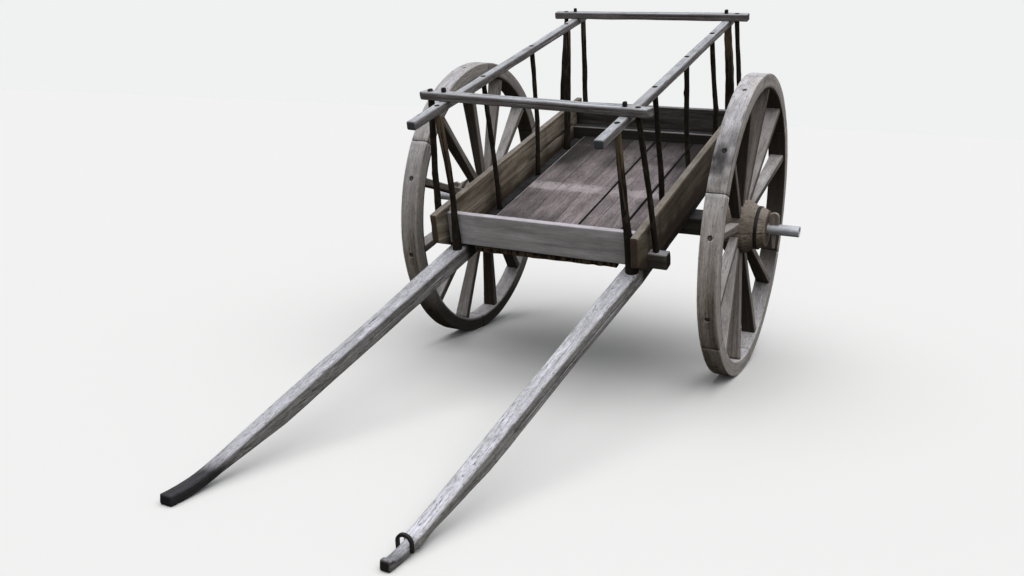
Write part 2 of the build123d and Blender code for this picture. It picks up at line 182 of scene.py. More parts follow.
def squared(halves, radius, steps, checks, along):
    """Section points, one row per ring, and which of its columns are on an arris."""
    rings = len(halves)
    radius = np.minimum(radius, halves.min(axis=1) * 0.8)
    arcs = []
    for number, sign in enumerate(corner_signs):
        turn = corner_turns + number * math.pi / 2
        arc = radius[:, None, None] * np.stack((np.cos(turn), np.sin(turn)), axis=-1)
        arcs.append(((halves - radius[:, None]) * sign)[:, None] + arc)
    columns, arris, dent = [], [], []
    for number in range(4):
        columns.append(arcs[number])
        arris += [1] * len(corner_turns)
        dent.append(np.zeros((rings, len(corner_turns))))
        first, last = arcs[number][:, -1], arcs[(number + 1) % 4][:, 0]
        gap = check_width / halves[rings // 2, number % 2] / 2
        plain = np.linspace(0, 1, steps[number % 2] + 2)[1:-1]
        spots = [(share, None) for share in (0.03, *plain, 0.97)]
        for check in checks:
            if check[0] == number:
                spots = [spot for spot in spots
                         if abs(spot[0] - check[1]) > 0.07 or not 0.05 < spot[0] < 0.95]
                spots += [(check[1] + aside, check) for aside in (-gap, 0, gap)]
        for share, check in sorted(spots, key=lambda spot: spot[0]):
            shares, depth = np.full(rings, share), np.zeros(rings)
            if check:
                _, place, low, high, deep = check
                shares += 0.05 * waves(along, 0.11, place * 7 + number)
                if share == place:
                    depth = deep * np.sin(math.pi * rise(along, low, high)) ** 0.5
            columns.append((first + (last - first) * shares[:, None])[:, None])
            arris.append(0)
            dent.append(depth[:, None])
    flat, dent = np.concatenate(columns, axis=1), np.concatenate(dent, axis=1)
    inward = -flat / np.maximum(np.abs(flat).max(axis=2, keepdims=True), 1e-9)
    side = np.abs(flat) >= np.abs(halves[:, None]) - 1e-6
    return flat + np.where(side, inward, 0) * dent[..., None], np.array(arris)


print("checks are", check_width * 1000, "mm wide")

# %% [markdown]
# Quads join each ring of points to the next, and a fan of triangles closes each end. A timber has
# smaller rings there, which round it. A part also carries what its finish needs: "grain" is how
# far each point is along and across the timber, "edge" marks the arrises and "cut" the end grain.

# %% Skins and timbers
def skin(centres, across, upward, flat, distance, edge, cut, seed):
    """A part from its rings. Each has its own place in the grain, by its seed."""
    count, columns = flat.shape[:2]
    across, upward = (np.broadcast_to(axis, centres.shape)[:, None] for axis in (across, upward))
    rings = centres[:, None] + flat[..., :1] * across + flat[..., 1:] * upward
    number = np.arange(count * columns).reshape(count, columns)
    after = np.roll(number, -1, axis=1)
    quads = np.stack((number[:-1], after[:-1], after[1:], number[1:]), axis=-1).reshape(-1, 4)
    pole = np.full(columns, count * columns)
    fans = np.concatenate((np.stack((pole, after[0], number[0]), axis=-1),
                           np.stack((pole + 1, number[-1], after[-1]), axis=-1)))
    grain = np.concatenate((np.repeat(distance, columns)[:, None], flat.reshape(-1, 2)), axis=1)
    lot = np.random.default_rng(seed).random(3) * 9
    return {
        "points": np.concatenate((rings.reshape(-1, 3), centres[[0, -1]])), "faces": (quads, fans),
        "grain": np.concatenate((grain, ((0, 0, 0), (distance[-1], 0, 0)))) + lot,
        "edge": np.r_[edge.ravel(), 0, 0], "cut": np.r_[cut.ravel(), 1, 1],
    }


def run_of(middles):
    """How far each ring is along the line."""
    return np.r_[0, np.cumsum(np.linalg.norm(np.diff(middles, axis=0), axis=1))]


def timber(middles, halves, across, upward, arris=0.004, steps=(4, 4), checks=(), end_round=0.003, seed=0):
    """Squared timber along a line of measured sections. steps are the points across each face."""
    inset = np.array((0.3, 0.65, 1.0))
    order = np.r_[[0] * 3, np.arange(len(middles)), [-1] * 3]
    length = run_of(middles)
    centres, sizes = middles[order], halves[order]
    centres[3] += (middles[1] - middles[0]) * min(end_round / length[1], 0.5)
    centres[-4] += (middles[-2] - middles[-1]) * min(end_round / (length[-1] - length[-2]), 0.5)
    sizes[:3] = (halves[0] - end_round) * inset[:, None]
    sizes[-3:] = (halves[-1] - end_round) * inset[::-1, None]
    radius = arris * np.r_[inset, np.ones(len(middles)), inset[::-1]]
    flat, edge = squared(sizes, radius, steps, checks, length[order])
    cut = np.zeros(flat.shape[:2])
    cut[:3] = cut[-3:] = 1
    across, upward = (np.broadcast_to(axis, middles.shape)[order] for axis in (across, upward))
    return skin(centres, across, upward, flat, length[order], edge * (1 - cut), cut, seed)

# %% [markdown]
# A piece is one or more parts in one mesh. Here it gets broad shallow scallops where it was hewn,
# and narrow ridges where rain has washed the soft wood out. A mask marks what faces the sky, which
# turns silver and is also painted paler, as skylight; what faces down gets painted shade with the
# damp. More masks come with the piece, as functions of its points.

# %% Join, roughen and hand over a piece
made = {}
finishes = {}


def piece(name, parts, finish, slot, nodes, body="cart", hewn=0.0, washed=0.0003, level=True,
          bleached_and_lit=(0.35, 0.85), underside_shade=(0.6, 0.0, 0.7), **masks):
    """hewn and washed are how high the marks are. The next two give the slopes that take the silver
    with painted skylight, and the painted shade on faces that look down.
    """
    points, grain, edge, cut = (np.concatenate([part[key] for part in parts])
                                for key in ("points", "grain", "edge", "cut"))
    points = to_world(points) if level else points + axle
    faces, first = [], 0
    for part in parts:
        for block in part["faces"]:
            faces += (block + first).tolist()
        first += len(part["points"])
    mesh = bpy.data.meshes.new(name)
    mesh.from_pydata(points, [], faces)
    mesh.update()
    normals = np.empty(points.shape)
    mesh.vertex_normals.foreach_get("vector", normals.ravel())
    relief = hewn * (noise(grain, (0.17, 0.06, 0.06), 3) + 0.35 * noise(grain, (0.05, 0.022, 0.022), 4))
    points += normals * (relief + washed * noise(grain, (0.12, 0.009, 0.009), 5))[:, None]
    mesh.vertices.foreach_set("co", points.ravel())
    mesh.update()
    mesh.attributes.new("grain", "FLOAT_VECTOR", "POINT").data.foreach_set("vector", grain.ravel())
    values = {key: mask(points) for key, mask in masks.items()}
    # Faces towards the sky turn silver, and are also painted paler, as skylight.
    values.update(edge=edge, cut=cut, sun=rise(normals[:, 2], *bleached_and_lit))
    # Faces that look down are painted darker, as shade, along with the damp.
    values["damp"] = np.maximum(values.get("damp", 0), underside_shade[0] * rise(-normals[:, 2], *underside_shade[1:]))
    for key, value in values.items():
        mesh.attributes.new(key, "FLOAT", "POINT").data.foreach_set("value", value.astype(np.float32))
    mesh.polygons.foreach_set("use_smooth", np.ones(len(mesh.polygons), dtype=bool))
    mesh.materials.append(finishes[finish])
    thing = bpy.data.objects.new(name, mesh)
    bpy.context.scene.collection.objects.link(thing)
    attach(thing, body)
    if nodes:
        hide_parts(*nodes)
    made[name] = sum(len(face) - 2 for face in faces)
    print(name, made[name], "triangles")


# %% [markdown]
# Colours are written as the hex values that a paint program shows. Blender's shaders work in linear
# light, so one function turns them. One more function adds a node to a material, with its settings
# and inputs, and gives back its output for the next one.

# %% Colour and node helpers
def hex_colour(code):
    parts = [int(code[place:place + 2], 16) / 255 for place in (1, 3, 5)]
    return (*[part / 12.92 if part <= 0.04045 else ((part + 0.055) / 1.055) ** 2.4 for part in parts], 1.0)


def add(material, kind, out=None, **settings):
    """A setting is the node's own or an input's, which is named or else i0, i1 and so on."""
    tree = material.node_tree
    node = tree.nodes.new("ShaderNode" + kind)
    if kind == "Mix":
        node.data_type = "RGBA"
    for key, value in settings.items():
        if hasattr(node, key):
            setattr(node, key, value)
            continue
        numbered = key[0] == "i" and key[1:].isdigit()
        socket = node.inputs[int(key[1:])] if numbered else node.inputs[key.replace("_", " ")]
        if isinstance(value, bpy.types.NodeSocket):
            tree.links.new(value, socket)
        else:
            socket.default_value = hex_colour(value) if isinstance(value, str) else value
    if out is not None:
        return node.outputs[out]
    return next((socket for socket in node.outputs if socket.enabled), node)


def new_material(name):
    material = bpy.data.materials.new(name)
    material.use_nodes = True
    material.node_tree.nodes.clear()
    return material


def finish_with(material, **inputs):
    """Ends a material in a Principled shader with these inputs."""
    add(material, "OutputMaterial", Surface=add(material, "BsdfPrincipled", **inputs))
    return material


print("mid grey is", round(hex_colour("#808080")[0], 4), "in linear light")

# %% [markdown]
# The cart is old unpainted hardwood. Rain and sun leave it silver-grey on top and olive-brown where
# it stays damp, with dark drying checks along the grain, fine raised fibres and dark end grain. Its
# tops are also painted paler, as skylight, and what faces down or lies in the shade is painted
# darker with the damp. Every timber shares this weathering with its own colours. The pattern
# follows "grain": streaks are about 18 mm wide and half a metre long, fibres 3 mm wide and flecks
# 5 mm, all coarser than real ones so that they show. A "soot" mask is black, and a pale dust mask
# also paints a highlight along the floor's left edge. Old bare wood has no gloss, so its roughness
# is high.

# %% Weathered hardwood
def pattern(material, along, across, detail=4.0, rough=0.6, bend=0.4):
    """Noise whose lumps are so many metres long and wide in the grain."""
    grain = add(material, "Attribute", attribute_name="grain", out="Vector")
    often = (1 / along, 1 / across, 1 / across)
    place = add(material, "VectorMath", operation="MULTIPLY", i0=grain, i1=often)
    return add(material, "TexNoise", Vector=place, Scale=1.0, Detail=detail, Roughness=rough, Distortion=bend)


def weathered_wood(name, tones, streak=0.018, silvered=0.95, dirty=0.5, check=0.5, flecked=0.3,
                   relief=0.0016):
    """tones are the deep, middle and pale wood, then its silver, its dirt, which also paints shade, and end grain.
    """
    deep, body, pale, silver, dirt_and_shade, end_grain = tones.split()
    wood = new_material(name)
    sun, edge, cut, soot, damp, dust = (add(wood, "Attribute", attribute_name=key, out="Fac")
                                        for key in ("sun", "edge", "cut", "soot", "damp", "dust"))
    streaks = pattern(wood, 0.5, streak, 5.0, 0.65)
    fibres = pattern(wood, 0.07, 0.003, 2.0)
    mottle = pattern(wood, 0.16, 0.07, 6.0, 0.7, 0.8)
    blotch = pattern(wood, 0.5, 0.2, 3.0, bend=0.6)
    dashes = pattern(wood, 0.024, 0.0048, 5.0, 0.75, 0.6)

    # A check is the thin line where slow noise crosses its middle value, in places.
    line = pattern(wood, 0.45, 0.016, 2.0, bend=0.2)
    off_line = add(wood, "Math", operation="SUBTRACT", i0=line, i1=0.5)
    off_line = add(wood, "Math", operation="ABSOLUTE", i0=off_line)
    thin = add(wood, "MapRange", i0=off_line, i1=0.004, i2=0.016, i3=1.0, i4=0.0)
    where = add(wood, "MapRange", i0=mottle, i1=0.62 - 0.2 * check, i2=0.72 - 0.2 * check)
    checks = add(wood, "Math", operation="MULTIPLY", i0=thin, i1=where)

    colour = add(wood, "ValToRGB", i0=streaks)
    stops = colour.node.color_ramp.elements
    stops.new(0.5)
    for stop, place, tone in zip(stops, (0.34, 0.5, 0.66), (deep, body, pale)):
        stop.position = place
        stop.color = hex_colour(tone)
    soil = add(wood, "MapRange", i0=blotch, i1=0.5, i2=0.68, i4=dirty)
    colour = add(wood, "Mix", i0=soil, i6=colour, i7=dirt_and_shade)

    # Sun turns the wood silver, but for its hard streaks, and the same mask paints sky-facing faces
    # paler, as skylight. Arrises are rubbed pale.
    washed = add(wood, "MapRange", i0=mottle, i1=0.3, i2=0.6, i3=0.55 * silvered, i4=silvered)
    washed = add(wood, "Math", operation="MULTIPLY", i0=washed, i1=sun)
    unwashed = add(wood, "MapRange", i0=streaks, i1=0.45, i2=0.7, i4=0.45)
    silver_tone = add(wood, "Mix", i0=unwashed, i6=silver, i7=colour)
    rubbed = add(wood, "Math", operation="MULTIPLY", i0=edge, i1=0.35)
    for share, tone in ((washed, silver_tone), (rubbed, pale)):
        colour = add(wood, "Mix", i0=share, i6=colour, i7=tone)
    for marks, darkest in ((fibres, 0.8), (mottle, 0.84)):
        light = add(wood, "MapRange", i0=marks, i1=0.3, i2=0.7, i3=darkest, i4=1.2)
        colour = add(wood, "VectorMath", operation="SCALE", i0=colour, Scale=light)

    # Pale flakes and dark flecks, then what the masks ask for, and the checks. The damp mask's dark
    # tone is dirt and painted shade.
    flake = add(wood, "MapRange", i0=dashes, i1=0.34, i2=0.44, i3=0.7 * flecked, i4=0.0)
    fleck = add(wood, "MapRange", i0=dashes, i1=0.52, i2=0.64, i4=flecked)
    uneven = add(wood, "MapRange", i0=mottle, i1=0.35, i2=0.6, i3=0.3)
    dusty = add(wood, "Math", operation="MULTIPLY", i0=dust, i1=uneven)
    crack = add(wood, "Math", operation="MULTIPLY", i0=checks, i1=0.85)
    for share, tone in ((flake, silver), (fleck, "#36332f"), (damp, dirt_and_shade), (dusty, silver), (cut, end_grain),
                        (crack, "#1c1916"), (soot, "#19181c")):
        colour = add(wood, "Mix", i0=share, i6=colour, i7=tone)

    height = add(wood, "Math", operation="MULTIPLY_ADD", i0=checks, i1=-1.6, i2=fibres)
    height = add(wood, "Math", operation="MULTIPLY_ADD", i0=mottle, i1=0.7, i2=height)
    bump = add(wood, "Bump", Height=height, Strength=0.7, Distance=relief)
    return finish_with(wood, Base_Color=colour, Roughness=0.85, Specular_IOR_Level=0.15, Normal=bump)


# What it is called here, its material's name, its six tones, and its own settings.
wood_looks = (
    ("shaft_wood", "weathered_hewn_hardwood", "#7b7773 #9d9a98 #bbb8b6 #dddde6 #1f1d1a #2a2622",
     dict(dirty=0.3, check=0.75, flecked=0.65)),
    # The beams' dark tones stand for damp wood and painted shade under the box.
    ("beam_wood", "damp_hewn_hardwood", "#3d3830 #625b50 #857c70 #a5a3a8 #2c2b2a #171411", {}),
    ("board_wood", "sawn_side_board", "#574e42 #897f70 #a89e90 #958d86 #33281d #4a3f35",
     dict(streak=0.026, check=0.3)),
    ("rear_board_wood", "shaded_rear_board", "#302c29 #4c4847 #6a6561 #9b989a #23201d #1d1a18",
     dict(streak=0.03)),
    ("front_board_wood", "planed_front_board", "#918f90 #b2b0b1 #cac8c9 #ccc5cd #908c88 #4a4542",
     dict(streak=0.03, dirty=0.25, check=0.1, flecked=0.1, relief=0.0008)),
    ("floor_wood", "worn_floor_plank", "#473d3c #726667 #a19597 #bfb6b8 #1f1c1b #2b2622",
     dict(silvered=0.35, dirty=0.75, check=0.3, flecked=0.65)),
    ("rail_wood", "rack_rail_pole", "#545050 #7a7575 #a19c9a #c4c8ce #55504a #4b4d50", {}),
    ("hub_wood", "greased_turned_hub", "#5a4e42 #8f8375 #aca092 #aaa096 #372e26 #665b50",
     dict(streak=0.012, check=0.6, dirty=0.6)),
    ("spoke_wood", "shaved_spoke", "#564d45 #81776e #a39b94 #c6c2c1 #2b251f #35302c", {}),
    ("felloe_wood", "road_worn_felloe", "#7d7267 #aaa095 #c8bfb6 #dad8dd #2e2720 #1a1714",
     dict(streak=0.02, check=0.35, dirty=0.25, flecked=0.55)),
    ("pin_wood", "cut_linchpin", "#7a7067 #a0978d #b9b0a6 #b5ada5 #4d443c #8a8177", {}),
)
for key, name, tones, looks in wood_looks:
    finishes[key] = weathered_wood(name, tones, **looks)
print(len(finishes), "weathered woods")

# %% [markdown]
# The sticks of the rack are young poles with their bark on. It is rough, dark and flaky, with grey
# lichen. Where the "peeled" mask is high it has come off and left smooth brown wood.

# %% Bark
def barked_pole(name, tones):
    """tones are the bark's furrows, the bark, its lichen, then the bare wood, dark and pale."""
    furrow, bark_tone, lichen, bare, bare_pale = tones.split()
    pole = new_material(name)
    peeled, cut, sun = (add(pole, "Attribute", attribute_name=key, out="Fac")
                        for key in ("peeled", "cut", "sun"))
    plates = pattern(pole, 0.035, 0.008, 5.0, 0.65, 0.5)
    patches = pattern(pole, 0.09, 0.045, 4.0, 0.65, 1.0)
    fibres = pattern(pole, 0.12, 0.004, 2.0, 0.65, 0.5)
    strips = pattern(pole, 0.22, 0.011, 4.0, 0.65, 0.3)
    rough = add(pole, "MapRange", i0=plates, i1=0.32, i2=0.62)
    grey = add(pole, "MapRange", i0=patches, i1=0.52, i2=0.66, i4=0.75)
    wood = add(pole, "Mix", i0=fibres, i6=bare, i7=bare_pale)
    ragged = add(pole, "Math", operation="MULTIPLY_ADD", i0=strips, i1=1.8, i2=-0.9)
    ragged = add(pole, "Math", operation="ADD", i0=peeled, i1=ragged)
    gone = add(pole, "MapRange", i0=ragged, i1=0.4, i2=0.66)
    # Bark that faces the sky is bleached, and is also painted paler, as skylight.
    bleached_and_lit = add(pole, "Math", operation="MULTIPLY", i0=sun, i1=0.4)
    colour = furrow
    for share, tone in ((rough, bark_tone), (grey, lichen), (gone, wood), (bleached_and_lit, "#a8a4a2"),
                        (cut, "#2b2520")):
        colour = add(pole, "Mix", i0=share, i6=colour, i7=tone)
    left = add(pole, "Math", operation="SUBTRACT", i0=1.0, i1=gone)
    height = add(pole, "Math", operation="MULTIPLY", i0=plates, i1=left)
    height = add(pole, "Math", operation="MULTIPLY_ADD", i0=fibres, i1=0.25, i2=height)
    bump = add(pole, "Bump", Height=height, Strength=0.8, Distance=0.003)
    return finish_with(pole, Base_Color=colour, Roughness=0.9, Specular_IOR_Level=0.15, Normal=bump)


finishes["bark"] = barked_pole("barked_pole", "#0e0c09 #29231d #423c35 #574a3b #86765f")
finishes["wane"] = barked_pole("wane_with_bark", "#1a1511 #2f261d #4a3f30 #55463a #6f5f4b")
print("finishes", list(finishes))

# %% [markdown]
# The hub bands, the staple and the nails are black forged iron, whose skin of scale and rust hides
# its shine, so it is mostly rough and only part metallic. The axle is a galvanised tube: zinc is a
# blue-grey metal with faint crystals, dulled by handling.

# %% Iron and galvanised steel
iron = finishes["iron"] = new_material("black_forged_iron")
scale = add(iron, "TexNoise", Vector=add(iron, "TexCoord", out="Object"), Scale=1 / 0.012, Detail=5.0,
            Roughness=0.7)
rust = add(iron, "MapRange", i0=scale, i1=0.5, i2=0.68)
finish_with(
    iron, Metallic=0.5,
    Base_Color=add(iron, "Mix", i0=rust, i6="#1e1e21", i7="#3d2e26"),
    Roughness=add(iron, "MapRange", i0=scale, i1=0.3, i2=0.7, i3=0.5, i4=0.8),
    Normal=add(iron, "Bump", Height=scale, Strength=0.5, Distance=0.001),
)

zinc = finishes["zinc"] = new_material("galvanised_steel_tube")
grain = add(zinc, "Attribute", attribute_name="grain", out="Vector")
crystals = add(zinc, "TexVoronoi", Vector=grain, Scale=1 / 0.012)
smear = pattern(zinc, 1 / 8, 1 / 60, rough=0.5, bend=0.0)
colour = add(zinc, "Mix", i0=smear, i6="#8f9196", i7="#cdcfd4")
finish_with(
    zinc, Metallic=0.7,
    Base_Color=add(zinc, "Mix", blend_type="OVERLAY", i0=0.12, i6=colour, i7=crystals),
    Roughness=add(zinc, "MapRange", i0=smear, i1=0.3, i2=0.7, i3=0.5, i4=0.72),
)

# The staple over the right shaft's tongue keeps its solid and only gets the iron.
staple = frame["nodes"]["shaft_staple"].data
staple.materials.clear()
staple.materials.append(iron)
print("the staple is", staple.materials[0].name)

# %% [markdown]
# A straight timber is measured every 2 cm along one of the level cart's axes, and on both sides of
# the jumps in its outline. A hand-hewn one wanders a little on its way.

# %% Straight timber
ways = {"x": (X, Y, Z), "y": (-Y, X, Z), "z": (Z, X, Y)}


def wander(middles, halves, across, upward, amount, seed):
    length = run_of(middles)
    aside = amount * waves(length, 0.6, seed)
    lift = 0.6 * amount * waves(length, 0.5, seed + 1)
    swell = 1 + 8 * amount * waves(length, 0.25, seed + 2)
    return middles + across * aside[:, None] + upward * lift[:, None], halves * swell[:, None]


def straight(node, way, seed, spacing=0.02, jumps=False, bow=0.0, **looks):
    """A timber for each solid of a node."""
    parts = []
    for seed, solid in enumerate(solids_of(node), seed):
        reach = solid[0] @ ways[way][0]
        low, high = reach.min(), reach.max()
        spots = np.linspace(low, high, int((high - low) / spacing) + 2)
        if jumps:
            corners = [spot for spot in np.unique(reach.round(4)) if low + 0.004 < spot < high - 0.004]
            spots = np.sort(np.r_[spots, np.add.outer(corners, (-0.0004, 0.0004)).ravel()])
        middles, halves = spans_along(solid, spots, (low + 0.0006, high - 0.0006), ways[way])
        middles, halves = wander(middles, halves, *ways[way][1:], bow, seed)
        parts.append(timber(middles, halves, *ways[way][1:], seed=seed, **looks))
    return parts

# %% [markdown]
# Each shaft is one long pole that tapers to a tip. The tip follows an arc, so there the measuring
# planes turn with it. The right shaft ends in a narrow tongue, where the measured width drops at
# once. Both tips are blackened.

# %% Shafts
tip_start = -2.547
tip_radius = 0.76
tongue_length = 0.150


def shaft(word, checks, seed):
    solid = corners_of(f"shaft_{word}")
    rear = solid[0][:, 1].max()
    straight_run = rear - tip_start
    centre = section(solid, (0, tip_start, 0), Y)[:, 2].min() + tip_radius
    spots = np.r_[np.arange(0, straight_run, 0.02), straight_run + np.linspace(0, tip_radius * pitch, 14)]
    if word == "right":
        shoulder = straight_run + tip_radius * math.asin(math.sin(pitch) - tongue_length / tip_radius)
        spots = np.sort(np.r_[spots, shoulder - 0.001, shoulder + 0.001])
    probes = np.clip(spots, 0.0006, spots[-1] - 0.0006)
    turn = np.clip(probes - straight_run, 0, None) / tip_radius
    none, sine, cosine = turn * 0, np.sin(turn), np.cos(turn)
    flat = rear - np.minimum(probes, straight_run)
    origin = np.column_stack((none, flat - tip_radius * sine, centre - tip_radius * cosine))
    along = np.column_stack((none, -cosine, sine))
    upward = np.column_stack((none, sine, cosine))
    middles, halves = spans(solid, origin, along, X, upward)
    middles += (spots - probes)[:, None] * along

    # The pole wanders ahead of the box, but for its tip.
    loose = rise(spots, 1.7, 2.2)[:, None]
    held_tip = rise(spots, spots[-1] - 0.25, spots[-1] - 0.05)[:, None]
    waved, sized = wander(middles, halves, X, upward, 0.004, seed)
    middles += (waved - middles) * loose * (1 - held_tip)
    halves += (sized - halves) * loose
    return timber(middles, halves, X, upward, arris=0.007, steps=(7, 6), checks=checks, end_round=0.006,
                  seed=seed)


def charred(points, amount, length):
    """How black a shaft is, counted back from its tip."""
    back = points[:, 1] - points[:, 1].min()
    ragged = length * (1 + 0.35 * noise(points, (0.05, 0.2, 0.03), 8))
    return np.clip(amount * 1.8 * (1.25 - back / ragged), 0, amount)


def shade_in_and_near_box(points):
    """A shaft is painted dark under the box, as shade and damp, and the right one a little darker ahead of it, as
    painted shade.
    """
    place = to_level(points)[:, 1]
    within = rise(place, -0.82, -0.78) * (1 - rise(place, 0.88, 0.93))
    shade_ahead = 0.12 * rise(place, -1.9, -1.1) * (points[:, 0] > 0)
    return np.maximum(within * (0.96 + 0.04 * noise(points, 0.03, 9)), shade_ahead)


# How black the tip is and over what length, the least soot elsewhere, the seed and the checks.
shaft_looks = {
    "left": (0.92, 0.24, 0.14, 10,
             ((0, 0.4, 0.9, 1.9, 0.006), (0, 0.62, 2.2, 3.1, 0.005), (3, 0.5, 1.6, 2.6, 0.006))),
    "right": (0.55, 0.1, 0.0, 12,
              ((0, 0.55, 1.0, 1.7, 0.006), (0, 0.35, 2.0, 3.0, 0.006), (3, 0.42, 1.9, 2.9, 0.007),
               (1, 0.5, 1.5, 2.5, 0.006))),
}
for word, (amount, length, grime, seed, checks) in shaft_looks.items():
    piece(f"shaft_pole_{word}", [shaft(word, checks, seed)], "shaft_wood", "hewn_timber", [f"shaft_{word}"],
          hewn=0.0014, washed=0.0004, damp=shade_in_and_near_box,
          soot=lambda points: np.maximum(charred(points, amount, length), grime))

# %% [markdown]
# The axle beam, the cross-beams and the floor bearers were hewn square with an adze. Under the
# floor they are painted dark, as shade, and damp.

# %% Beams
# Node, how deep its adze marks are, how round its arrises, and its checks.
hewn_beams = (
    ("axle_beam", 0.0022, 0.008, ((0, 0.4, 0.2, 0.9, 0.005), (3, 0.5, 0.1, 1.0, 0.005))),
    ("cross_beam_front", 0.0022, 0.007, ((0, 0.4, 0.1, 0.6, 0.004),)),
    ("cross_beam_rear", 0.0018, 0.006, ((3, 0.5, 0.2, 1.0, 0.005),)),
)


def shade_below_top(points):
    """A cross-beam is painted dark, as shade and damp, but for its top. The rear one is painted black as shade,
    but for its front arris.
    """
    place = to_level(points)
    rear = (place[:, 1] > 0.753) | ((place[:, 1] > 0) & (place[:, 2] < 0.187))
    return np.maximum(0.62 * (1 - rise(place[:, 2], 0.184, 0.191)), 0.92 * rear)


# The axle beam is painted dark all over, as shade under the box.
for number, (node, depth, arris, checks) in enumerate(hewn_beams):
    parts = straight(node, "x", 20 + number, bow=0.0006, arris=arris, steps=(5, 5), checks=checks,
                     end_round=0.005)
    piece(f"{node}_hewn", parts, "beam_wood", "hewn_timber", [node], hewn=depth,
          damp=shade_below_top if number else lambda points: 0.7 + 0.2 * noise(points, 0.07, 3))
parts = straight("floor_bearers", "x", 25, spacing=0.03, arris=0.005)
piece("bearers_hewn", parts, "beam_wood", "hewn_timber", ["floor_bearers"], hewn=0.0015)

# %% [markdown]
# The front cross-beam was hewn from a small log, so its lower edge still has wane: the log's own
# round edge, with ragged bark on it.

# %% Wane
beam = corners_of("cross_beam_front")[0]
shaft_inside = np.abs(corners_of("shaft_right")[0][:, 0]).min() - 0.003
spots = np.linspace(-shaft_inside, shaft_inside, 200)
low = beam[:, 2].min() - 0.024 + 0.015 * spots + 0.0022 * waves(spots, 0.03, 6)
high = beam[:, 2].min() + 0.004
middles = np.column_stack((spots, 0 * spots + beam[:, 1].min() + 0.016, (low + high) / 2))
halves = np.column_stack((0 * spots + 0.0175, (high - low) / 2))
strip = timber(middles, halves, Y, Z, arris=0.006, steps=(3, 3), seed=29)
piece("wane_edge", [strip], "wane", "hewn_timber", [], hewn=0.0015,
      peeled=lambda points: 0.45 + 0.6 * noise(points, (0.009, 0.08, 0.08), 7))

# %% [markdown]
# The box is boards on edge. The side boards are notched over the cross-beams and cut off at a
# slant below both ends, which the jumps in their measured height follow. Their outer faces are
# painted dark, as shade. The end boards are darker at their left end, and the rear one is dusty
# outside.

# %% Box boards
def board_damp(points):
    """Side boards darken towards their foot and have water streaks, and their outer faces are painted dark, as
    shade.
    """
    place = to_level(points)
    low = 1 - rise(place[:, 2] + 0.02 * noise(points, 0.08, 6), 0.125, 0.21)
    runs = rise(noise(place, (0.4, 0.05, 0.12), 7), 0.0, 0.8)
    outer_shade = (np.abs(place[:, 0]) > 0.49) * (1 - rise(place[:, 2], 0.30, 0.325))
    return np.clip(0.95 * low + 0.25 * runs + 0.65 * outer_shade, 0, 0.95)


board_checks = ((1, 0.62, 0.5, 1.3, 0.004), (3, 0.4, 0.2, 0.9, 0.004))
for seed, word in ((29, "left"), (31, "right")):
    parts = straight(f"side_board_{word}", "y", seed, jumps=True, steps=(3, 14), checks=board_checks)
    piece(f"side_board_sawn_{word}", parts, "board_wood", "box_board", [f"side_board_{word}"], hewn=0.0007,
          washed=0.0005, damp=board_damp)
for seed, word in ((34, "front"), (35, "rear")):
    parts = straight(f"board_{word}", "x", seed, arris=0.003, steps=(3, 12))
    piece(f"end_board_{word}", parts, f"{word}_board_wood", "box_board", [f"board_{word}"], hewn=0.0005,
          dust=lambda points: 0.5 * (to_level(points)[:, 1] > 0.83),
          damp=lambda points: 0.75 * (1 - rise(points[:, 0], -0.46, -0.37)))

# %% [markdown]
# The floor is six planks. Some are grimier than others, and two seams between them have opened.
# The floor is also painted darker towards its rear, as shade.

# %% Floor planks
seams = np.array((-0.240, -0.086, 0.047, 0.121, 0.267))
plank_grime = np.array((0.40, 0.22, 0.0, 0.12, 0.08, 0.38))
open_seams = seams[[2, 4]]


def floor_damp(points):
    """The floor is painted darker towards its rear end, as shade, and plank by plank with grime."""
    place = to_level(points)
    # Painted shade towards the rear.
    rear = rise(place[:, 1] + 0.1 * noise(points, 0.15, 7), 0.15, 0.72)
    grime = plank_grime[np.searchsorted(seams, place[:, 0])]
    return np.clip(0.85 * rear + grime + 0.25 * noise(points, 0.09, 3), 0, 0.92)


def floor_dust(points):
    """A pale band crosses the floor, and a pale line along its left edge is a painted highlight."""
    place = to_level(points)
    ragged = place[:, 1] + 0.015 * noise(points, 0.05, 5)
    band = rise(ragged, -0.09, -0.07) * (1 - rise(ragged, 0.0, 0.02))
    # The left edge is painted pale, as a highlight on its arris.
    return np.maximum(0.7 * band, place[:, 0] < place[:, 0].min() + 0.006)


def in_seams(points):
    """The open seams are black."""
    return 0.95 * (np.abs(to_level(points)[:, :1] - open_seams) < 0.008).any(axis=1)


parts = straight("floor_planks", "y", 40, bow=0.0008, arris=0.003, steps=(6, 2))
piece("floor_planks_worn", parts, "floor_wood", "floor_wood", ["floor_planks"], hewn=0.0008, washed=0.0006,
      damp=floor_damp, dust=floor_dust, soot=in_seams)

# %% [markdown]
# A stick of the rack is a round bar with a crooked line, an uneven radius and a few knots where
# twigs were cut off. Its tenon goes up through the rail and stands a hair above it, and one stands
# 9 mm proud. The two sticks ahead of the box are thick at the foot.

# %% Sticks
columns_round = 20
tenon_radius = 0.0122


def wrapped(turn):
    """A turn between minus and plus half a circle."""
    return (turn + math.pi) % (2 * math.pi) - math.pi


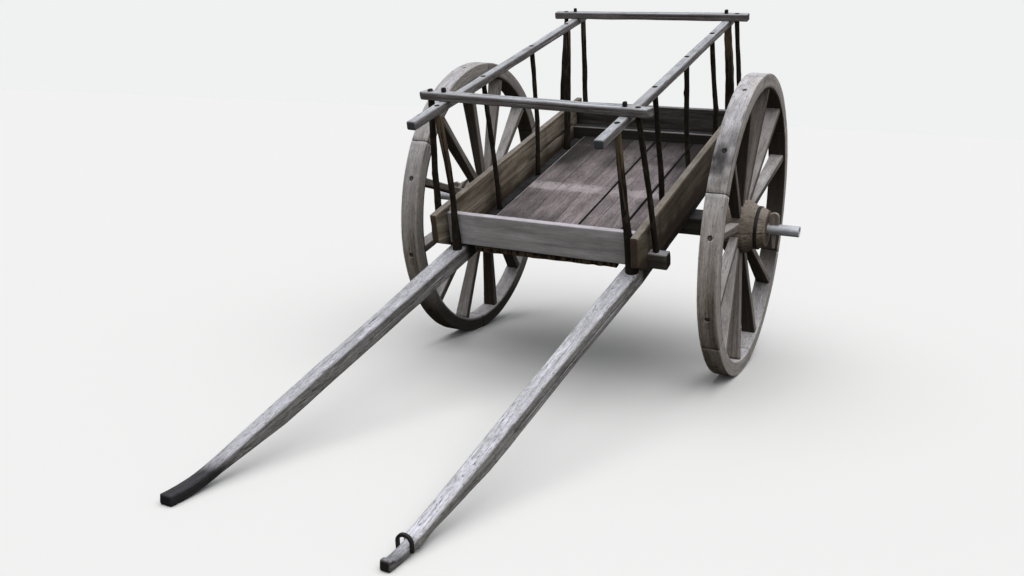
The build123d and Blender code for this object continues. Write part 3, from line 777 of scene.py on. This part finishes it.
def round_bar(middles, radii, seed=0, knots=()):
    turn = np.arange(columns_round) / columns_round * 2 * math.pi
    length = run_of(middles)
    reach = np.repeat(radii[:, None], columns_round, axis=1)
    for spot, way, height, size in knots:
        off = np.hypot(length[:, None] - spot, reach * wrapped(turn - way))
        reach = reach + height * np.exp(-(off / size) ** 2)
    order = np.r_[0, np.arange(len(middles)), -1]
    flat = reach[order, :, None] * np.stack((np.cos(turn), np.sin(turn)), axis=-1)
    flat[[0, -1]] *= 0.5
    cut = np.zeros(flat.shape[:2])
    cut[0] = cut[-2:] = 1
    return skin(middles[order], X, Y, flat, length[order], cut * 0, cut, seed)


def top_of(node):
    return corners_of(node)[0][:, 2].max()


def stick(node, foot, shoulder, end, crook, butt, seed):
    """A stick from its foot to its shoulder, then its tenon up to its end."""
    spots = np.linspace(foot + 0.0008, shoulder - 0.0008, int((shoulder - foot) / 0.011))
    middles, halves = spans_along(corners_of(node), spots, (foot, shoulder), ways["z"])
    held = np.sin(math.pi * np.linspace(0, 1, len(spots))) ** 0.6
    for axis in (0, 1):
        swing = waves(spots, 0.19, seed + axis) + 0.4 * waves(spots, 0.07, seed + 5 + axis)
        middles[:, axis] += crook * held * swing
    radii = halves.mean(axis=1) * (1 + 0.07 * waves(spots, 0.045, seed + 9))
    radii *= 1 + butt * np.exp(-((spots - foot) / 0.11) ** 2)
    chance = np.random.default_rng(seed)
    knots = [(chance.uniform(0.08, 0.9) * (shoulder - foot), chance.uniform(0, 2 * math.pi),
              chance.uniform(0.001, 0.0035), chance.uniform(0.009, 0.014)) for _ in range(4)]
    tenon = np.column_stack((np.tile(middles[-1, :2], (5, 1)), np.linspace(shoulder, end, 5)))
    radii = np.r_[radii, np.full(5, tenon_radius)]
    return round_bar(np.concatenate((middles, tenon)), radii, seed, knots)


shaft_top = section(corners_of("shaft_right"), (0, 0, 0), Y)[:, 2].max()
rail_low, rail_high = corners_of("rail_right")[0][:, 2].min(), top_of("rail_right")
beam_high, crossbar_high = top_of("cross_beam_front"), top_of("crossbar_front")
# From the front to the rear: how many mm crooked each stick is, and the share of its height at
# which half its bark is off.
stick_looks = {
    "left": ((6, 4, 4, 3, 3, 4, 3), (0.8, 1.2, 1.4, 1.4, 0.9, 0.9, 1.3)),
    "right": ((4, 4, 4, 5, 4, 4, 3), (0.75, 1.2, 1.2, 1.2, 1.3, 0.8, 1.3)),
}
sticks = [(f"{letter}_{word}", *looks) for word in ("left", "right")
          for letter, *looks in zip("abcdefg", *stick_looks[word])]
for number, (word, crook, bare_from) in enumerate(sticks):
    foot, shoulder, end = shaft_top, rail_low, rail_high
    if word[0] in "bg":
        foot, shoulder, end = beam_high, rail_high, crossbar_high
    end += 0.009 if word == "b_left" else 0.0012
    butt = 0.5 if word[0] == "a" else 0.1
    part = stick(f"picket_{word}", foot, shoulder, end, crook / 1000, butt, 50 + number)
    piece(f"stick_{word}", [part], "bark", "bark_stick", [f"picket_{word}"], washed=0.0009,
          peeled=lambda points: np.clip(
              (to_level(points)[:, 2] - foot) / (shoulder - foot) - bare_from + 0.5, 0, 1))

# %% [markdown]
# Two iron nails hold each plank to each bearer. Their heads stand 1 mm above the floor.

# %% Floor nails
floor_top = top_of("floor_planks")
head_radii = np.array((0.0045, 0.0045, 0.0025))
nails = []
for bearer, _ in solids_of("floor_bearers"):
    row = bearer[:, 1].mean()
    for plank, _ in planks:
        left, width = plank[:, 0].min(), np.ptp(plank[:, 0])
        for share in (0.2, 0.8):
            spot = (left + width * share, row + 0.006 * math.sin(40 * left + 9 * share + 3 * row))
            line = np.array([(*spot, floor_top + up) for up in (-0.002, 0.0006, 0.0012)])
            nails.append(round_bar(line, head_radii))
piece("floor_nails", nails, "iron", "black_iron", [], washed=0.0)

# %% [markdown]
# The rails and crossbars are thin squared poles, and the pegs through their crossings are split
# stubs.

# %% Rails, crossbars and pegs
rail_checks = ((0, 0.45, 0.2, 1.1, 0.004), (3, 0.5, 0.1, 0.8, 0.004), (1, 0.4, 0.4, 1.0, 0.003))
for number, node in enumerate(("rail_left", "rail_right", "crossbar_front", "crossbar_rear")):
    way = "y" if number < 2 else "x"
    parts = straight(node, way, 70 + number, bow=0.0012, arris=0.006, checks=rail_checks, end_round=0.004)
    piece(f"{node}_pole", parts, "rail_wood", "rack_wood", [node], hewn=0.0014, washed=0.0004)
piece("pegs_split", straight("rail_pegs", "z", 76, spacing=0.006, arris=0.003, steps=(3, 3)), "beam_wood",
      "rack_wood", ["rail_pegs"], hewn=0.002, soot=lambda points: np.full(len(points), 0.9))

# %% [markdown]
# A wheel's rim is six felloes sawn to a curve, so they are carried round the axle instead of along
# a line. Each spoke's tenon comes out through the tread, where it is worn a little below the
# surface: the tread is pushed in there, and dark.

# %% Felloes
tenon_size = 0.0115
tenon_depth = 0.005


def radial(turn):
    """The direction from the axle at a turn."""
    return np.stack((turn * 0, np.cos(turn), np.sin(turn)), axis=-1)


def from_axle(points):
    return np.hypot(points[:, 1], points[:, 2])


def turn_of(solid):
    """The turn at which a solid of a wheel lies."""
    middle = solid[0].mean(axis=0)
    return math.atan2(middle[2], middle[1])


def felloe(solid, tenons, seed):
    centre, outer = turn_of(solid), from_axle(solid[0]).max()
    turns = wrapped(np.arctan2(solid[0][:, 2], solid[0][:, 1]) - centre)
    mine = [wrapped(turn - centre) for turn in tenons]
    mine = [turn for turn in mine if turns.min() < turn < turns.max()]
    close = np.array((-15, -12.5, -11, -9, -5, 0, 5, 9, 11, 12.5, 15)) / 1000 / outer
    spots = np.linspace(turns.min(), turns.max(), 36)
    spots = [spot for spot in spots if all(abs(spot - turn) > 0.024 for turn in mine)]
    spots = np.sort(np.r_[spots, [turn + gap for turn in mine for gap in close]])
    probes = np.clip(spots, spots[0] + 0.001, spots[-1] - 0.001) + centre
    outward, along = radial(probes), radial(probes + math.pi / 2)
    middles, halves = spans(solid, outward * outer, along, X, outward)
    upward = radial(spots + centre)
    middles = middles[:, :1] * X + upward * from_axle(middles)[:, None]
    part = timber(middles, halves, X, upward, arris=0.005, steps=(18, 5), end_round=0.0016, seed=seed)
    points, middle_x = part["points"], middles[:, 0].mean()
    height = from_axle(points)
    for turn in mine:
        way = radial(turn + centre)
        off = points - way * outer - X * middle_x
        off = np.linalg.norm(off - (off @ way)[:, None] * way, axis=1)
        sunk = (off < tenon_size) & (height > outer - 0.012)
        points[sunk] -= way * tenon_depth
        part["cut"][sunk] = np.where(off[sunk] > 0.006, 1.0, 0.7)
    return part


print("tenon ends lie", tenon_depth, "m below the tread")

# %% [markdown]
# The spokes are broad shaved boards. They lean out from the hub to the rim, which is the wheel's
# dish.

# %% Spokes
rim_inner = from_axle(corners_of("felloes_right", False)[0]).min()


def spoke(solid, hub_face, seed):
    way = radial(turn_of(solid))
    spots = np.linspace(from_axle(solid[0]).min() + 0.03, rim_inner + 0.003, 34)
    axes = (way, X, np.cross(way, X))
    middles, halves = spans_along(solid, spots, (hub_face + 0.001, rim_inner - 0.002), axes)
    halves[:, 1] *= 1 - 0.10 * np.sin(math.pi * rise(spots, hub_face, rim_inner)) ** 2
    return timber(middles, halves, *axes[1:], arris=0.006, steps=(6, 5), seed=seed)


print("the rim's inside is", round(rim_inner, 3), "m from the axle")

# %% [markdown]
# The hub, its band and the axle's tube are turned: an outline measured on the solid is revolved
# about the axle. The hub's drying checks are dents in it.

# %% Turned parts
def turned(outline, columns, dents=()):
    """A closed outline of (place along the axle, radius) turned about the axle."""
    place, radius = (np.repeat(values[:, None], columns, axis=1) for values in outline.T)
    turn = np.arange(columns) / columns * 2 * math.pi
    for way, width, depth, low, high in dents:
        off = wrapped(turn - way) * radius
        radius = radius - depth * np.exp(-(off / width) ** 2) * ((place > low) & (place < high))
    points = np.stack((place, radius * np.cos(turn), radius * np.sin(turn)), axis=-1).reshape(-1, 3)
    number = np.arange(len(points)).reshape(-1, columns)
    after, last = np.roll(number, -1, axis=1), np.roll(number, -1, axis=0)
    quads = np.stack((number, after, np.roll(after, -1, axis=0), last), axis=-1).reshape(-1, 4)
    plain = np.zeros(len(points))
    return {"points": points, "faces": (quads,), "grain": points, "edge": plain, "cut": plain}


def along_outline(corners, step):
    """An outline's corners with points every step between them."""
    spots, corners = [], np.array(corners)
    for start, end in zip(corners, np.roll(corners, -1, axis=0)):
        count = max(int(math.hypot(*(end - start)) / step), 1)
        spots += [start + (end - start) * share / count for share in range(count)]
    return np.array(spots)


def hub(word, side):
    solid = corners_of(f"hub_{word}", False)
    reach, size = np.abs(solid[0][:, 0]), from_axle(solid[0])
    inner, outer, bore = reach.min(), reach.max(), size.min() + 0.001
    probes = [place + aside for place in np.unique(reach.round(4)) for aside in (-0.0006, 0.0006)]
    outline = [(probe, from_axle(section(solid, (side * probe, 0, 0), X)).max()) for probe in probes
               if inner < probe < outer]
    chance = np.random.default_rng(95 + side)
    dents = []
    for _ in range(9):
        way, depth = chance.uniform(0, 2 * math.pi), chance.uniform(0.003, 0.006)
        low, high = inner + chance.uniform(0, 0.06), inner + chance.uniform(0.16, 0.3)
        dents.append((way, 0.0016, depth, *sorted((side * low, side * high))))
    outline = along_outline([(inner, bore), *outline, (outer, bore)], 0.006) * (side, 1)
    part = turned(outline[::side], 180, dents)
    distance = np.abs(part["points"][:, 0])
    part["cut"] = ((distance > outer - 0.0005) | (distance < inner + 0.0005)).astype(float)
    return part


def hub_band(word, side):
    solid = corners_of(f"hub_band_{word}", False)
    reach, size = np.abs(solid[0][:, 0]), from_axle(solid[0])
    low, high, least, most = reach.min(), reach.max(), size.min(), size.max()
    corners = [(low, least), (low, most - 0.001), (low + 0.001, most), (high - 0.001, most),
               (high, most - 0.001), (high, least)]
    return turned((along_outline(corners, 0.004) * (side, 1))[::side], 120)

# %% [markdown]
# The tread is worn pale. A wheel darkens towards its foot, the left one most, and the left rim is
# painted darker, as shade. Grease has run on the right wheel.

# %% Wheels
def polar(points):
    """How far a point is from the axle, and its turn from the rear over the top, in degrees."""
    place = points - axle
    return from_axle(place), np.degrees(np.arctan2(place[:, 2], place[:, 1]))


def rim_damp(points):
    """The rim's inner face keeps its brown and is painted dark as shade, but for the bottom, which faces the sky;
    the rim darkens towards its foot, and the left rim is painted darker as shade.
    """
    radius, turn = polar(points)
    inner_face_shade = 0.95 * (radius < rim_inner + 0.008) * (1 - rise(-np.sin(np.radians(turn)), 0.3, 0.8))
    foot_dark, far_wheel_shade = (0.92, 0.22) if points[0, 0] < 0 else (0.15, 0.0)
    foot = foot_dark * (1 - rise(points[:, 2] + 0.06 * noise(points, 0.1, 2), 0.15, 0.42))
    return np.maximum(inner_face_shade, np.maximum(foot, far_wheel_shade) * (radius > rim_inner + 0.008))


def stained(points):
    """An oily stain on the right wheel's tread, round one tenon."""
    radius, turn = polar(points)
    ragged = 0.3 + 0.7 * rise(noise(points, 0.04, 4), -0.6, 0.2)
    dark = 0.85 * np.exp(-((turn - 152) / 10) ** 2) + 0.3 * np.exp(-((turn - 134) / 12) ** 2)
    return (points[:, 0] > 0) * (radius > rim_inner + 0.06) * dark * ragged


for word, side in (("left", -1), ("right", 1)):
    wheel = {"body": f"wheel_{word}", "level": False}
    hub_face = from_axle(corners_of(f"hub_{word}", False)[0]).max()
    spoke_solids = solids_of(f"spokes_{word}", False)
    tenons = [turn_of(solid) for solid in spoke_solids]
    felloes = [felloe(solid, tenons, 80 + number)
               for number, solid in enumerate(solids_of(f"felloes_{word}", False))]
    spokes = [spoke(solid, hub_face, 90 + number) for number, solid in enumerate(spoke_solids)]
    # The rim, spokes and hub are painted paler where they face the sky at rest, partly as skylight, and darker
    # where they face down, as shade.
    piece(f"felloes_sawn_{word}", felloes, "felloe_wood", "felloe_wood", [f"felloes_{word}"], **wheel,
          hewn=0.0012, washed=0.0005, bleached_and_lit=(-0.35, 0.75), underside_shade=(0.4, 0.3, 1.0), damp=rim_damp,
          soot=stained)
    piece(f"spokes_shaved_{word}", spokes, "spoke_wood", "spoke_wood", [f"spokes_{word}"], **wheel,
          hewn=0.001, bleached_and_lit=(-0.1, 0.6), underside_shade=(0.9, -0.1, 0.3))
    piece(f"hub_turned_{word}", [hub(word, side)], "hub_wood", "hub_wood", [f"hub_{word}"], **wheel,
          hewn=0.0009, bleached_and_lit=(-0.2, 1.1))
    piece(f"hub_band_forged_{word}", [hub_band(word, side)], "iron", "black_iron", [f"hub_band_{word}"],
          **wheel, hewn=0.0004)

# %% [markdown]
# The axle is a plain tube, and a cut wooden linchpin through it keeps each wheel on.

# %% Tube and linchpins
pipe = corners_of("axle_pipe", False)[0]
end, bore, rind = np.abs(pipe[:, 0]).max(), from_axle(pipe).min(), from_axle(pipe).max()
lip = 0.0012
corners = [(-end, bore + lip), (-end, rind - lip), (-end + lip, rind), (end - lip, rind),
           (end, rind - lip), (end, bore + lip), (end - lip, bore), (-end + lip, bore)]
piece("axle_tube_galvanised", [turned(along_outline(corners, 0.05), 64)], "zinc", "axle_steel", ["axle_pipe"],
      washed=0.0, level=False)
for word in ("left", "right"):
    parts = straight(f"linchpin_{word}", "z", 98, spacing=0.005, arris=0.003, steps=(4, 3), end_round=0.002)
    piece(f"linchpin_cut_{word}", parts, "pin_wood", "pin_wood", [f"linchpin_{word}"], hewn=0.0008)

# %% [markdown]
# The light is an overcast sky: most of it from a disc of cloud overhead, a quarter turn wide, and
# some from all round. A weak lamp behind the camera stands for the open side of the yard. The
# camera sees a pale floor and backdrop, but the floor sends back only as much light as trodden
# earth would, so that the undersides stay dark.

# %% Floor, backdrop and light
scene = bpy.context.scene
scene.view_settings.view_transform = "Standard"

ground = new_material("pale_studio_floor")
seen = add(ground, "LightPath", out="Is Camera Ray")
pale_floor = add(ground, "BsdfDiffuse", Color="#f0efed")
dull_floor = add(ground, "BsdfDiffuse", Color="#57544c")
add(ground, "OutputMaterial", Surface=add(ground, "MixShader", i0=seen, i1=dull_floor, i2=pale_floor))
bpy.ops.mesh.primitive_circle_add(vertices=96, radius=60, fill_type="NGON", location=(0, 0, 0))
floor = bpy.context.object
floor.name = "studio_floor"
floor.data.materials.append(ground)

sky = bpy.data.worlds.new("overcast")
scene.world = sky
sky.use_nodes = True
sky.node_tree.nodes.clear()
ray = add(sky, "LightPath").node.outputs
plain = add(sky, "Math", operation="MAXIMUM", i0=ray["Is Camera Ray"], i1=ray["Is Glossy Ray"])
dim = add(sky, "Background", Color="#e9edf4", Strength=0.31)
white = add(sky, "Background", Color="#f0f1f1", Strength=1.0)
add(sky, "OutputWorld", Surface=add(sky, "MixShader", i0=plain, i1=dim, i2=white))

# Each lamp's name, the way to it, its strength and how many degrees wide it looks.
for name, towards, strength, width in (("cloud_overhead", (0.1, -0.15, 1.0), 2.2, 90),
                                       ("open_side", (0.55, -1.0, 0.75), 0.45, 60)):
    light = bpy.data.lights.new(name, "SUN")
    light.energy = strength
    light.angle = math.radians(width)
    thing = bpy.data.objects.new(name, light)
    scene.collection.objects.link(thing)
    thing.rotation_euler = mathutils.Vector(towards).to_track_quat("Z", "Y").to_euler()
print("lamps", [light.name for light in bpy.data.lights])

# %% [markdown]
# The camera stands at eye height ahead of the right shaft and looks a little down at the cart, with
# the slight roll of a hand-held shot. The lens follows from the picture's width and how many
# pixels wide one radian is at its middle.

# %% Camera
eye = (1.7403, -3.87874, 1.3549)
azimuth, elevation, roll = 25.249, 11.624, 2.897
picture_width = 1024
focal_pixels = 956.8
lens = bpy.data.cameras.new("photo_camera")
lens.sensor_width = 36
lens.lens = focal_pixels * lens.sensor_width / picture_width
lens.clip_end = 200
camera = bpy.data.objects.new("photo_camera", lens)
scene.collection.objects.link(camera)
place = mathutils.Matrix.Translation(eye)
for degrees, axis in ((azimuth, "Z"), (90 - elevation, "X"), (roll, "Z")):
    place @= mathutils.Matrix.Rotation(math.radians(degrees), 4, axis)
camera.matrix_world = place
scene.camera = camera
print("lens", round(lens.lens, 2), "mm")

# %% [markdown]
# Last, the size of the dressed cart is printed.

# %% Finish
print("triangles", sum(made.values()), "in", len(made), "pieces")
